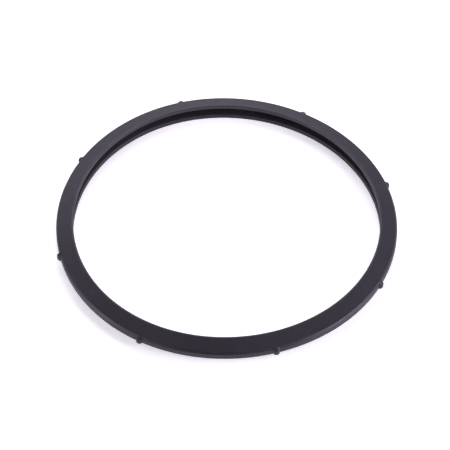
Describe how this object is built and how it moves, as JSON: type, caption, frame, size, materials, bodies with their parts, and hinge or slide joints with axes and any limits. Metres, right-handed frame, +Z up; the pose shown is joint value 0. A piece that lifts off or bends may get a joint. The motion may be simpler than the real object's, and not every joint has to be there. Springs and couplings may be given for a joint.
{
  "type": "pressure cooker sealing ring",
  "caption": "Round black rubber sealing ring for a pressure cooker's lid: a C section open to the inside, with small centring nubs on its outer wall.",
  "frame": {"origin": "centre of the ring, on the surface it lies on", "axes": "+Z up along the ring's axis; +X through the middle of one nub"},
  "size_m": [0.2442, 0.2442, 0.0137],
  "materials": {
    "rubber": "satin black, faint mould grain"
  },
  "bodies": {
    "root": {"sealing_ring": "rubber"}
  },
  "joints": []
}
